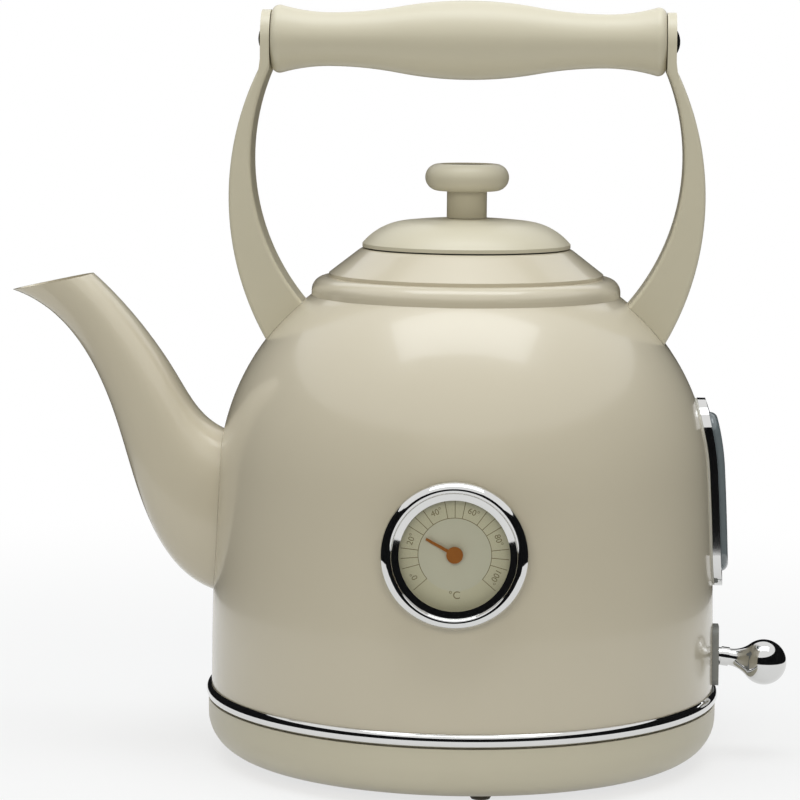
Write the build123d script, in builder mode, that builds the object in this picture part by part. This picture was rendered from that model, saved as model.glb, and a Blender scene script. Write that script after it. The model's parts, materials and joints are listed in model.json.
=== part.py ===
from build123d import *
import math
import os

os.makedirs("parts", exist_ok=True)

# Sizes are in millimetres. Heights are measured up from the table, and a point of a profile is
# written as (distance from the pot's axis, height).

# Sheet thicknesses and fits that several pieces share
wall = 1.0
gasket = 0.6
seat_gap = 0.3
slip_fit = 0.2
thread_fit = 0.03
running_fit = 0.05

# Pot body: an almost upright side, then one round shoulder up to the neck
body_radius = 84.8
side_start = 24.0
shoulder_inset = 2.35
shoulder_height = 98.0
neck_radius = 46.0
neck_height = 158.9

# Power base
foot_height = 2.5
foot_radius = 4.5
foot_tip_radius = 3.0
foot_inset = 8.0
foot_count = 4
foot_turn = -83.0
foot_peg_radius = 1.8
base_overhang = 1.0
base_top = 19.2
base_side_bottom = 14.2
base_floor_inset = 7.8
base_wall = 2.6
base_recess = 3.5
post_collar_wall = 2.0
post_collar_height = 4.0
base_screw_circle = 55.0
base_screw_count = 4
base_screw_turn = 45.0
base_boss_radius = 4.5
base_screw_depth = 7.0
small_screw_radius = 1.5
small_head_radius = 2.9
small_head_height = 1.5
gland_height = 8.3
gland_radius = 4.6
gland_tip_radius = 4.0
gland_bore_radius = 3.4
gland_stand_out = 3.1

# Round connector between the base and the pot
post_radius = 13.0
post_height = 16.0
post_flange_radius = 24.0
pin_radius = 2.5
pin_socket_radius = 3.6
sleeve_radius = 8.4
sleeve_wall = 1.2
contact_wall = 0.6
contact_clearance = 0.8
contact_bottom_gap = 2.5
well_clearance = 0.8
well_ceiling_gap = 3.0
contact_root = 4.0

# Trim ring and the underside of the pot
ring_height = 4.4
ring_proud = 1.8
ring_lip = 0.4
cover_thickness = 2.4
cover_rim = 2.3
cover_rim_height = 10.5
cover_ring_wall = 2.0
cover_ring_height = 3.0
stud_inset = 15.6
stud_count = 3
stud_turn = 60.0
stud_radius = 3.2
stud_thread_depth = 9.0

# Floor of the water space, heater and control
floor_height = 52.0
floor_skirt = 5.0
heat_plate_radius = 56.0
heat_plate_thickness = 3.0
element_inset = 38.8
element_tube_radius = 3.3
element_gap = 60.0
element_tail = 9.0
element_pin_radius = 1.2
element_pin_length = 5.0
disc_thickness = 1.2
disc_radius = 7.5
disc_circle = 18.0
control_radius = 28.0
steam_inset = 17.6
steam_turn = 30.0
steam_tube_radius = 4.0
steam_tube_wall = 1.2
steam_tube_top = 126.0
steam_seal_radius = 6.4
steam_seal_height = 3.0
steam_switch_radius = 11.0
steam_switch_height = 17.0
steam_socket_depth = 6.0

# Spout: points (distance out from the pot's side, height) along its front and back edges, from
# the root to a little past the mouth
spout_reach = 68.1
spout_tip_height = 155.1
spout_front_line = [
    (-10.3, 52.0), (11.7, 62.0), (23.5, 82.5), (34.1, 115.5), (49.0, 142.3), (76.2, 157.0)
]
spout_back_line = [
    (-10.3, 106.0), (-2.3, 109.2), (3.1, 113.0), (12.5, 126.2), (34.0, 154.3), (66.2, 175.5)
]
spout_sections = 13
spout_root_half_width = 16.5
spout_tip_half_width = 8.5
spout_mouth_lean = 12.0
spout_root_height = 83.3
strainer_hole_radius = 1.7
strainer_pitch = 6.2
strainer_columns = 4
strainer_rows = 6

# Collar round the mouth
collar_radius = 51.7
collar_roll = 4.7
collar_roll_height = 156.5
collar_foot = 8.0
collar_wall = 1.4
collar_step_radius = 45.9
collar_step = 1.2
collar_rim_radius = 36.2
collar_rim_height = 169.9
collar_top = 170.7
mouth_radius = 32.4
mouth_depth = 7.7

# Lid
lid_gap = 0.5
lid_radius = 34.8
lid_lip = 1.2
lid_shoulder_radius = 21.1
lid_shoulder_drop = 1.2
lid_top = 181.0
lid_wall = 2.0
plug_gap = 1.4
plug_depth = 10.2
plug_wall = 2.0
plug_post_radius = 5.0
seal_height = 3.0
seal_drop = 3.0
seal_wall = 1.9
knob_stem_radius = 6.7
knob_radius = 14.0
knob_height = 9.0
knob_neck = 9.0
knob_dish_radius = 8.7
knob_dish_depth = 0.8
knob_cap_crown = 0.5
lid_screw_radius = 2.0
lid_screw_head_radius = 4.0
lid_screw_head_height = 2.0
lid_screw_reach = 10.0

# Handle
grip_height = 239.9
grip_half_length = 65.5
grip_middle_radius = 13.1
grip_waist_radius = 8.9
grip_waist_place = 46.0
grip_flare_radius = 11.2
grip_flare_place = 62.2
grip_end_radius = 9.0
grip_rod_radius = 3.0
tab_gap = 0.2
tab_thickness = 3.0
tab_radius = 9.7
arm_foot_outer = (65.7, 138.6)
arm_foot_inner = (53.6, 151.8)
arm_belly_outer_reach = 79.1
arm_belly_outer_drop = 52.9
arm_belly_inner_reach = 71.8
arm_belly_inner_drop = 38.9
arm_neck_outer_reach = 69.1
arm_neck_outer_drop = 9.7
arm_neck_drop = 10.0
arm_foot_half_depth = 8.8
arm_edge = 1.2
arm_seat_gap = 0.05
handle_screw_radius = 2.0
handle_screw_reach = 12.0
handle_screw_head_radius = 4.25
handle_screw_crown = 1.4
arm_screw_place = 61.0
arm_screw_swing = 5.0
arm_screw_head_height = 2.2
arm_screw_reach = 7.0
washer_radius = 4.6
washer_thickness = 0.8

# Temperature gauge on the front
gauge_height = 80.6
gauge_tilt = 2.4
bezel_radius = 23.25
bezel_crest = 5.6
bezel_crest_inset = 1.9
bezel_edge_height = 2.6
bezel_step_radius = 19.5
bezel_step_top = 4.6
bezel_step = 0.5
bezel_lip_radius = 17.4
bezel_wall = 3.25
glass_bottom = 1.9
glass_thickness = 1.4
case_depth = 9.0
case_wall = 1.0
dial_face = -0.4
dial_thickness = 0.6
dial_ledge = 1.3
dial_hole_radius = 1.2
needle_lift = 0.7
needle_thickness = 0.5
needle_length = 10.3
needle_half_width = 0.55
needle_tip_half_width = 0.4
needle_heading = 151.4
needle_tail = 2.0
hub_radius = 2.6
hub_height = 1.1
spindle_radius = 0.6
spindle_depth = 6.5
coil_inner_radius = 2.0
coil_pitch = 1.6
coil_half_turns = 5
coil_strip = 0.4
coil_height = 2.5
coil_bottom = -6.0
probe_radius = 3.2
probe_length = 23.0
nut_width = 4.0
nut_thickness = 2.4
nut_depth = 5.4

# Water-level window opposite the spout
window_height = 89.8
window_length = 63.5
window_width = 24.0
window_frame = 4.6
frame_proud = 3.2
lens_proud = 5.2
lens_edge = 2.6
window_ledge = 3.4
clamp_thickness = 2.0

# Switch lever and the plate it comes through
lever_pivot_inset = 15.6
lever_pivot_height = 36.3
lever_droop = 7.5
lever_travel = 12.0
ball_radius = 7.65
ball_distance = 33.2
rod_radius = 2.8
rod_start = 4.6
rod_ring_radius = 3.2
rod_ring_place = 18.4
rod_ring_width = 2.8
rod_flare_radius = 5.2
lever_plate_bottom = 24.4
lever_plate_top = 44.2
lever_plate_width = 13.0
lever_plate_proud = 2.1
lever_plate_corner = 3.0
lever_slot_clearance = 0.5
rocker_radius = 6.2
rocker_half_width = 6.0
rocker_boss_radius = 4.2
rocker_boss_end = 10.5
trip_length = 15.0
trip_thickness = 4.0
trip_half_width = 4.0
pivot_pin_radius = 2.0
bracket_gap = 1.0
bracket_wall = 3.0
bracket_half_length = 6.0
bracket_floor = 2.2

# Places that follow from the sizes above
shoulder_radius = body_radius - shoulder_inset
base_radius = body_radius + base_overhang
base_floor_radius = base_radius - base_floor_inset
foot_circle = base_floor_radius - foot_inset
stud_circle = body_radius - stud_inset
steam_circle = body_radius - steam_inset
element_circle = body_radius - element_inset
lever_pivot = (body_radius - lever_pivot_inset, lever_pivot_height)
gland_reach = base_radius + gland_stand_out
spout_front = [(-body_radius - out, height) for out, height in spout_front_line]
spout_back = [(-body_radius - out, height) for out, height in spout_back_line]
spout_tip = (-body_radius - spout_reach, spout_tip_height)
lever_reach = lever_pivot[0] + ball_distance * math.cos(math.radians(lever_droop)) + ball_radius
axis_x = (-spout_tip[0] - lever_reach) / 2
pot_axis = Axis((axis_x, 0, 0), (0, 0, 1))
pot_plane = Plane(origin=(axis_x, 0, 0), x_dir=(1, 0, 0), z_dir=(0, -1, 0))
side_plane = Plane(origin=(axis_x, 0, 0), x_dir=(0, 1, 0), z_dir=(1, 0, 0))

deck_top = base_top - base_recess
deck_bottom = deck_top - base_wall
recess_radius = base_radius - base_wall
plate_top = foot_height + base_wall
plate_opening = base_floor_radius - base_wall
cavity_radius = recess_radius - base_wall
post_top = deck_top + post_height
contact_bottom = deck_top + contact_bottom_gap
sleeve_inner = sleeve_radius - sleeve_wall
groove_outer = sleeve_radius + contact_clearance + contact_wall
groove_inner = sleeve_inner - contact_clearance
post_collar_inner = post_radius + slip_fit
post_collar_outer = post_collar_inner + post_collar_wall
well_radius = post_collar_outer + well_clearance
well_ceiling = post_top + well_ceiling_gap

ring_bottom = base_top + seat_gap
shell_bottom = ring_bottom + slip_fit
cover_bottom = deck_top + seat_gap
cover_top = cover_bottom + cover_thickness
cover_lower_radius = recess_radius - 2 * seat_gap
cover_spigot_radius = body_radius - wall - slip_fit
floor_bottom = floor_height - wall
floor_radius = body_radius - wall - 2 * slip_fit
heat_plate_bottom = floor_bottom - heat_plate_thickness
control_top = heat_plate_bottom - disc_thickness
element_height = heat_plate_bottom - element_tube_radius

lid_bottom = collar_top + lid_gap
plug_radius = mouth_radius - plug_gap
plug_bottom = lid_bottom - plug_depth
seal_radius = mouth_radius - seat_gap
seal_top = lid_bottom - seal_drop
knob_bottom = lid_top + knob_neck
knob_top = knob_bottom + knob_height
knob_round = knob_height / 2

tab_inner = grip_half_length + tab_gap
tab_outer = tab_inner + tab_thickness
arm_belly_outer = (arm_belly_outer_reach, grip_height - arm_belly_outer_drop)
arm_belly_inner = (arm_belly_inner_reach, grip_height - arm_belly_inner_drop)
arm_neck_outer = (arm_neck_outer_reach, grip_height - arm_neck_outer_drop)

side_lean = 2 * math.atan2(shoulder_inset, shoulder_height - side_start)
neck_lean = 2 * math.atan2(shoulder_radius - neck_radius, neck_height - shoulder_height) - side_lean
side_curve = (shoulder_height - side_start) / math.sin(side_lean)
shoulder_curve = (neck_height - shoulder_height) / (math.sin(neck_lean) - math.sin(side_lean))


def level(height):
    """A flat plane round the pot's axis at a height above the table."""
    return Plane(origin=(axis_x, 0, height))


def side_wall_radius(height):
    """How far the pot's outside stands from its axis at a height on the side."""
    return body_radius - side_curve + math.sqrt(side_curve**2 - (height - side_start) ** 2)


def pot_outline(extra, bottom):
    """Draw the pot's outside line, moved outwards by extra, from its lower edge to its neck."""
    shoulder = (
        shoulder_radius + extra * math.cos(side_lean),
        shoulder_height + extra * math.sin(side_lean),
    )
    neck = (
        neck_radius + extra * math.cos(neck_lean),
        neck_height + extra * math.sin(neck_lean),
    )
    side = Line((body_radius + extra, bottom), (body_radius + extra, side_start))
    belly = TangentArc(side @ 1, shoulder, tangent=side % 1)
    dome = TangentArc(belly @ 1, neck, tangent=belly % 1)
    return side, dome


def pot_solid(extra):
    """The pot as one solid block, grown outwards by extra."""
    with BuildPart() as block:
        with BuildSketch(pot_plane):
            with BuildLine():
                side, dome = pot_outline(extra, shell_bottom)
                neck = dome @ 1
                Polyline(neck, (0, neck.Y), (0, shell_bottom), side @ 0)
            make_face()
        revolve(axis=pot_axis)
    return block.part


pot_core = pot_solid(0)
pot_inside = pot_solid(-wall)
gasket_core = pot_solid(gasket)
arm_core = pot_solid(arm_seat_gap)

gauge_out = (0, -math.cos(math.radians(gauge_tilt)), math.sin(math.radians(gauge_tilt)))
gauge_origin = (axis_x, -side_wall_radius(gauge_height), gauge_height)
gauge_plane = Plane(origin=gauge_origin, x_dir=(1, 0, 0), z_dir=gauge_out)
gauge_section = Plane(
    origin=gauge_origin, x_dir=(1, 0, 0), z_dir=Vector(1, 0, 0).cross(Vector(gauge_out))
)
gauge_axis = Axis(gauge_origin, gauge_out)
bezel_inner = bezel_radius - bezel_wall
case_radius = bezel_inner - slip_fit
case_inner = case_radius - case_wall
glass_top = glass_bottom + glass_thickness
dial_back = dial_face - dial_thickness
needle_bottom = dial_face + needle_lift

window_plane = Plane(origin=(axis_x, 0, window_height), x_dir=(0, 1, 0), z_dir=(1, 0, 0))
opening_length = window_length - 2 * window_frame
opening_width = window_width - 2 * window_frame
slot_length = opening_length - 2 * window_ledge
slot_width = opening_width - 2 * window_ledge

lever_direction = (
    math.cos(math.radians(lever_droop)),
    0,
    -math.sin(math.radians(lever_droop)),
)
pivot_point = (axis_x + lever_pivot[0], 0, lever_pivot[1])
lever_plane = Plane(origin=pivot_point, x_dir=lever_direction, z_dir=(0, -1, 0))
lever_axis = Axis(pivot_point, lever_direction)
slot_reach = body_radius + lever_plate_proud - lever_pivot[0]
slot_half_width = rod_ring_radius + lever_slot_clearance
slot_top = (
    lever_pivot[1]
    - (body_radius - wall - lever_pivot[0]) * math.tan(math.radians(lever_droop))
    + slot_half_width
)
slot_bottom = (
    lever_pivot[1]
    - slot_reach * math.tan(math.radians(lever_droop + lever_travel))
    - slot_half_width / math.cos(math.radians(lever_droop + lever_travel))
)

arm_screw_lean = math.acos(
    math.cos(side_lean) - (shoulder_radius - arm_screw_place) / shoulder_curve
)
arm_screw_height = shoulder_height + shoulder_curve * (
    math.sin(arm_screw_lean) - math.sin(side_lean)
)
arm_screw_turns = [base + swing for base in (0, 180) for swing in (-arm_screw_swing, arm_screw_swing)]


def arm_screw_plane(turn, depth):
    """A plane square to the dome at an arm's foot, sunk by depth below the outside."""
    around = math.radians(turn)
    place = arm_screw_place - depth * math.cos(arm_screw_lean)
    outward = (
        math.cos(arm_screw_lean) * math.cos(around),
        math.cos(arm_screw_lean) * math.sin(around),
        math.sin(arm_screw_lean),
    )
    return Plane(
        origin=(
            axis_x + place * math.cos(around),
            place * math.sin(around),
            arm_screw_height - depth * math.sin(arm_screw_lean),
        ),
        z_dir=outward,
    )


dome_planes = [arm_screw_plane(turn, 0) for turn in arm_screw_turns]
washer_planes = [arm_screw_plane(turn, wall + washer_thickness) for turn in arm_screw_turns]
head_planes = [
    arm_screw_plane(turn, wall + washer_thickness + arm_screw_head_height)
    for turn in arm_screw_turns
]

# Power base: a shallow bowl turned over, with a sunk deck for the pot and a collar round the post
with BuildPart() as base_housing:
    with BuildSketch(pot_plane):
        with BuildLine():
            bowl_side = Line((base_radius, base_top), (base_radius, base_side_bottom))
            bowl_corner = TangentArc(
                bowl_side @ 1, (base_floor_radius, foot_height), tangent=bowl_side % 1
            )
            Polyline(bowl_corner @ 1, (0, foot_height), (0, base_top), bowl_side @ 0)
        make_face()
    revolve(axis=pot_axis)
    with BuildSketch(level(deck_top)):
        Circle(recess_radius)
    extrude(amount=base_recess, mode=Mode.SUBTRACT)
    with BuildSketch(level(foot_height)):
        Circle(plate_opening)
    extrude(amount=deck_bottom - foot_height, mode=Mode.SUBTRACT)
    with BuildSketch(level(plate_top + slip_fit)):
        Circle(cavity_radius)
    extrude(amount=deck_bottom - plate_top - slip_fit, mode=Mode.SUBTRACT)
    with BuildSketch(level(plate_top)):
        with PolarLocations(base_screw_circle, base_screw_count, start_angle=base_screw_turn):
            Circle(base_boss_radius)
    extrude(amount=deck_bottom - plate_top)
    with BuildSketch(level(plate_top)):
        with PolarLocations(base_screw_circle, base_screw_count, start_angle=base_screw_turn):
            Circle(small_screw_radius + thread_fit)
    extrude(amount=base_screw_depth, mode=Mode.SUBTRACT)
    with BuildSketch(level(deck_bottom)):
        Circle(post_collar_outer)
    extrude(amount=base_wall + post_collar_height)
    with BuildSketch(level(deck_bottom)):
        Circle(post_collar_inner)
    extrude(amount=base_wall + post_collar_height, mode=Mode.SUBTRACT)
    with BuildSketch(Plane(origin=(axis_x, plate_opening, gland_height), z_dir=(0, 1, 0))):
        Circle(gland_radius)
    extrude(amount=base_radius - plate_opening, mode=Mode.SUBTRACT)
base_housing.part.label = "base_housing"
export_step(base_housing.part, "parts/base_housing.step")

# Cord outlet: a bush that stands out of the back of the base
with BuildPart() as cord_gland:
    with BuildSketch(side_plane):
        with BuildLine():
            Polyline(
                (cavity_radius - base_wall, gland_height + gland_bore_radius),
                (cavity_radius - base_wall, gland_height + gland_radius),
                (base_radius, gland_height + gland_radius),
                (gland_reach, gland_height + gland_tip_radius),
                (gland_reach, gland_height + gland_bore_radius),
                close=True,
            )
        make_face()
    revolve(axis=Axis((axis_x, 0, gland_height), (0, 1, 0)))
cord_gland.part.label = "cord_gland"
export_step(cord_gland.part, "parts/cord_gland.step")

# Bottom plate that closes the base from below
with BuildPart() as base_plate:
    with BuildSketch(level(foot_height)):
        Circle(plate_opening - slip_fit)
        with PolarLocations(base_screw_circle, base_screw_count, start_angle=base_screw_turn):
            Circle(small_screw_radius + thread_fit, mode=Mode.SUBTRACT)
        with PolarLocations(foot_circle, foot_count, start_angle=foot_turn):
            Circle(foot_peg_radius, mode=Mode.SUBTRACT)
    extrude(amount=base_wall)
    with BuildSketch(level(foot_height)):
        with PolarLocations(base_screw_circle, base_screw_count, start_angle=base_screw_turn):
            Circle(small_head_radius + slip_fit)
    extrude(amount=small_head_height, mode=Mode.SUBTRACT)
base_plate.part.label = "base_plate"
export_step(base_plate.part, "parts/base_plate.step")

with BuildPart() as base_screws:
    with BuildSketch(level(foot_height)):
        with PolarLocations(base_screw_circle, base_screw_count, start_angle=base_screw_turn):
            Circle(small_head_radius)
    extrude(amount=small_head_height)
    with BuildSketch(level(foot_height + small_head_height)):
        with PolarLocations(base_screw_circle, base_screw_count, start_angle=base_screw_turn):
            Circle(small_screw_radius)
    extrude(amount=plate_top - foot_height - small_head_height + base_screw_depth - slip_fit)
base_screws.part.label = "base_screws"
export_step(base_screws.part, "parts/base_screws.step")

# Rubber feet: short cones with a peg into the bottom plate
with BuildPart() as base_feet:
    with BuildSketch(level(foot_height)):
        with PolarLocations(foot_circle, foot_count, start_angle=foot_turn):
            Circle(foot_radius)
    extrude(
        amount=-foot_height,
        taper=math.degrees(math.atan2(foot_radius - foot_tip_radius, foot_height)),
    )
    with BuildSketch(level(foot_height)):
        with PolarLocations(foot_circle, foot_count, start_angle=foot_turn):
            Circle(foot_peg_radius)
    extrude(amount=base_wall)
base_feet.part.label = "base_feet"
export_step(base_feet.part, "parts/base_feet.step")

# Connector post: clamped under the deck, with a hole and a ring groove for the pot's contacts
with BuildPart() as connector_post:
    with BuildSketch(level(deck_bottom - base_wall)):
        Circle(post_flange_radius)
    extrude(amount=base_wall)
    with BuildSketch(level(deck_bottom)):
        Circle(post_radius)
    extrude(amount=post_top - deck_bottom)
    with BuildSketch(level(contact_bottom)):
        Circle(pin_socket_radius)
        Circle(groove_outer)
        Circle(groove_inner, mode=Mode.SUBTRACT)
        Circle(pin_socket_radius)
    extrude(amount=post_height, mode=Mode.SUBTRACT)
    with BuildSketch(level(contact_bottom)):
        Circle(post_radius)
        Circle(post_radius - contact_wall, mode=Mode.SUBTRACT)
    extrude(amount=contact_root, mode=Mode.SUBTRACT)
connector_post.part.label = "connector_post"
export_step(connector_post.part, "parts/connector_post.step")

# Contacts of the base: a tube, a ring in the groove and an earth band round the post
with BuildPart() as base_contacts:
    with BuildSketch(level(contact_bottom)):
        Circle(pin_socket_radius)
        Circle(pin_socket_radius - contact_wall, mode=Mode.SUBTRACT)
    extrude(amount=post_top - contact_bottom - contact_bottom_gap)
    with BuildSketch(level(contact_bottom)):
        Circle(groove_outer)
        Circle(groove_outer - contact_wall, mode=Mode.SUBTRACT)
    extrude(amount=post_top - contact_bottom - contact_bottom_gap)
    with BuildSketch(level(contact_bottom)):
        Circle(post_radius)
        Circle(post_radius - contact_wall, mode=Mode.SUBTRACT)
    extrude(amount=contact_root)
base_contacts.part.label = "base_contacts"
export_step(base_contacts.part, "parts/base_contacts.step")

# Pot: one pressed shell with holes for the spout, gauge, window, lever and handle screws
with BuildPart() as body_shell:
    with BuildSketch(pot_plane):
        with BuildLine():
            outside, outside_dome = pot_outline(0, shell_bottom)
            inside, inside_dome = pot_outline(-wall, shell_bottom)
            Line(outside @ 0, inside @ 0)
            Line(outside_dome @ 1, inside_dome @ 1)
        make_face()
    revolve(axis=pot_axis)
    with BuildSketch(Plane(origin=(axis_x, 0, spout_root_height), x_dir=(0, 1, 0), z_dir=(-1, 0, 0))):
        with GridLocations(strainer_pitch, strainer_pitch, strainer_columns, strainer_rows):
            Circle(strainer_hole_radius)
    extrude(amount=body_radius, mode=Mode.SUBTRACT)
    with BuildSketch(gauge_plane):
        Circle(case_radius + slip_fit)
    extrude(amount=case_depth, both=True, mode=Mode.SUBTRACT)
    with BuildSketch(window_plane):
        SlotOverall(slot_length, slot_width, rotation=90)
    extrude(amount=body_radius, mode=Mode.SUBTRACT)
    with BuildSketch(side_plane):
        with Locations((0, (slot_top + slot_bottom) / 2)):
            Rectangle(2 * slot_half_width, slot_top - slot_bottom)
    extrude(amount=body_radius + wall, mode=Mode.SUBTRACT)
    with BuildSketch(*dome_planes):
        Circle(handle_screw_radius + slip_fit)
    extrude(amount=2 * wall, both=True, mode=Mode.SUBTRACT)
body_shell.part.label = "body_shell"
export_step(body_shell.part, "parts/body_shell.step")

# Spout: a tapering tube between its two edges, trimmed to the pot and cut nearly level at the mouth
spout_front_edge = Spline(*spout_front)
spout_back_edge = Spline(*spout_back)
spout_root_span = math.dist(spout_front[0], spout_back[0])
spout_tip_span = math.dist(spout_front[-1], spout_back[-1])


def spout_section(place, thickness):
    """The plane and half sizes of the spout's section part of the way along it, less a wall."""
    front = spout_front_edge @ place
    across = spout_back_edge @ place - front
    middle = front + across / 2
    swell = (across.length - spout_tip_span) / (spout_root_span - spout_tip_span)
    half_width = spout_tip_half_width + (spout_root_half_width - spout_tip_half_width) * swell
    section_plane = Plane(
        origin=(axis_x + middle.X, 0, middle.Y),
        x_dir=(across.X, 0, across.Y),
        z_dir=(across.Y, 0, -across.X),
    )
    return section_plane, across.length / 2 - thickness, half_width - thickness


mouth_turn = math.radians(spout_mouth_lean)
mouth_plane = Plane(
    origin=(axis_x + spout_tip[0], 0, spout_tip[1]),
    x_dir=(math.cos(mouth_turn), 0, math.sin(mouth_turn)),
    z_dir=(-math.sin(mouth_turn), 0, math.cos(mouth_turn)),
)

spout_blocks = []
for thickness in (0, wall):
    with BuildPart() as block:
        for step in range(spout_sections):
            section_plane, high, wide = spout_section(step / (spout_sections - 1), thickness)
            with BuildSketch(section_plane):
                with BuildLine():
                    Spline((high, 0), (0, wide), tangents=[(0, 1), (-1, 0)])
                    Spline((0, wide), (-high, 0), tangents=[(-1, 0), (0, -1)])
                    Spline((-high, 0), (0, -wide), tangents=[(0, -1), (1, 0)])
                    Spline((0, -wide), (high, 0), tangents=[(1, 0), (0, 1)])
                make_face()
        loft()
    spout_blocks.append(block.part)
spout_outside, spout_channel = spout_blocks

with BuildPart() as spout:
    add(spout_outside)
    add(pot_core, mode=Mode.SUBTRACT)
    with BuildSketch(mouth_plane):
        Rectangle(2 * body_radius, body_radius)
    extrude(amount=body_radius, mode=Mode.SUBTRACT)
    add(spout_channel, mode=Mode.SUBTRACT)
spout.part.label = "spout"
export_step(spout.part, "parts/spout.step")

# Collar: a rolled foot on the dome, a step and a cone up to the mouth
with BuildPart() as collar:
    roll_centre = collar_radius - collar_roll
    roll_top = collar_roll_height + collar_roll
    cone_foot = roll_top + collar_step
    cone_lean = math.atan2(collar_rim_height - cone_foot, collar_step_radius - collar_rim_radius)
    cone_inset = collar_wall / math.sin(cone_lean)
    throat_radius = mouth_radius + collar_wall
    with BuildSketch(pot_plane):
        with BuildLine():
            foot_outside = Line(
                (collar_radius, collar_roll_height - collar_foot), (collar_radius, collar_roll_height)
            )
            roll_outside = TangentArc(foot_outside @ 1, (roll_centre, roll_top), tangent=foot_outside % 1)
            cone = Polyline(
                roll_outside @ 1,
                (collar_step_radius, roll_top),
                (collar_step_radius, cone_foot),
                (collar_rim_radius, collar_rim_height),
            )
            rim = TangentArc(
                cone @ 1, (collar_rim_radius - collar_wall, collar_top), tangent=cone % 1
            )
            throat = Polyline(
                rim @ 1,
                (mouth_radius, collar_top),
                (mouth_radius, collar_top - mouth_depth),
                (throat_radius, collar_top - mouth_depth),
                (throat_radius, collar_rim_height + (collar_rim_radius - cone_inset - throat_radius)
                 * math.tan(cone_lean)),
                (collar_step_radius - cone_inset, cone_foot),
                (collar_step_radius - cone_inset, roll_top - collar_wall),
                (roll_centre, roll_top - collar_wall),
            )
            roll_inside = TangentArc(
                throat @ 1, (collar_radius - collar_wall, collar_roll_height), tangent=(1, 0)
            )
            Polyline(
                roll_inside @ 1,
                (collar_radius - collar_wall, collar_roll_height - collar_foot),
                foot_outside @ 0,
            )
        make_face()
    revolve(axis=pot_axis)
    add(pot_core, mode=Mode.SUBTRACT)
collar.part.label = "collar"
export_step(collar.part, "parts/collar.step")

# Half-round trim ring round the foot of the pot
with BuildPart() as trim_ring:
    with BuildSketch(pot_plane):
        with BuildLine():
            ring_face = ThreePointArc(
                (body_radius + ring_lip, ring_bottom),
                (body_radius + ring_proud, ring_bottom + ring_height / 2),
                (body_radius + ring_lip, ring_bottom + ring_height),
            )
            Polyline(
                ring_face @ 1,
                (body_radius + thread_fit, ring_bottom + ring_height),
                (body_radius + thread_fit, ring_bottom),
                ring_face @ 0,
            )
        make_face()
    revolve(axis=pot_axis)
trim_ring.part.label = "trim_ring"
export_step(trim_ring.part, "parts/trim_ring.step")

# Cover under the pot, with a spigot up inside the shell and a ring that holds the control unit
with BuildPart() as bottom_cover:
    with BuildSketch(pot_plane):
        with BuildLine():
            Polyline(
                (well_radius, cover_bottom),
                (cover_lower_radius, cover_bottom),
                (cover_lower_radius, shell_bottom),
                (cover_spigot_radius, shell_bottom),
                (cover_spigot_radius, cover_bottom + cover_rim_height),
                (cover_spigot_radius - cover_rim, cover_bottom + cover_rim_height),
                (cover_spigot_radius - cover_rim, cover_top),
                (well_radius, cover_top),
                close=True,
            )
        make_face()
    revolve(axis=pot_axis)
    with BuildSketch(level(cover_top)):
        Circle(control_radius + slip_fit + cover_ring_wall)
        Circle(control_radius + slip_fit, mode=Mode.SUBTRACT)
    extrude(amount=cover_ring_height)
    with BuildSketch(level(cover_bottom)):
        with PolarLocations(stud_circle, stud_count, start_angle=stud_turn):
            Circle(small_screw_radius + slip_fit)
    extrude(amount=cover_thickness, mode=Mode.SUBTRACT)
    with BuildSketch(level(cover_bottom)):
        with PolarLocations(stud_circle, stud_count, start_angle=stud_turn):
            Circle(small_head_radius + slip_fit)
    extrude(amount=small_head_height, mode=Mode.SUBTRACT)
bottom_cover.part.label = "bottom_cover"
export_step(bottom_cover.part, "parts/bottom_cover.step")

with BuildPart() as cover_studs:
    with BuildSketch(level(cover_top)):
        with PolarLocations(stud_circle, stud_count, start_angle=stud_turn):
            Circle(stud_radius)
    extrude(amount=floor_bottom - cover_top)
    with BuildSketch(level(cover_top)):
        with PolarLocations(stud_circle, stud_count, start_angle=stud_turn):
            Circle(small_screw_radius + thread_fit)
    extrude(amount=stud_thread_depth, mode=Mode.SUBTRACT)
cover_studs.part.label = "cover_studs"
export_step(cover_studs.part, "parts/cover_studs.step")

with BuildPart() as cover_screws:
    with BuildSketch(level(cover_bottom)):
        with PolarLocations(stud_circle, stud_count, start_angle=stud_turn):
            Circle(small_head_radius)
    extrude(amount=small_head_height)
    with BuildSketch(level(cover_bottom + small_head_height)):
        with PolarLocations(stud_circle, stud_count, start_angle=stud_turn):
            Circle(small_screw_radius)
    extrude(amount=cover_thickness - small_head_height + stud_thread_depth - slip_fit)
cover_screws.part.label = "cover_screws"
export_step(cover_screws.part, "parts/cover_screws.step")

# Steel floor of the water space, with a skirt down the inside of the shell
with BuildPart() as floor_plate:
    with BuildSketch(level(floor_height - floor_skirt)):
        Circle(floor_radius)
    extrude(amount=floor_skirt)
    with BuildSketch(level(floor_height - floor_skirt)):
        Circle(floor_radius - wall)
    extrude(amount=floor_skirt - wall, mode=Mode.SUBTRACT)
    with BuildSketch(level(floor_bottom)):
        with PolarLocations(steam_circle, 1, start_angle=steam_turn):
            Circle(steam_seal_radius)
    extrude(amount=wall, mode=Mode.SUBTRACT)
floor_plate.part.label = "floor_plate"
export_step(floor_plate.part, "parts/floor_plate.step")

with BuildPart() as heat_plate:
    with BuildSketch(level(heat_plate_bottom)):
        Circle(heat_plate_radius)
    extrude(amount=heat_plate_thickness)
heat_plate.part.label = "heat_plate"
export_step(heat_plate.part, "parts/heat_plate.step")

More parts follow.
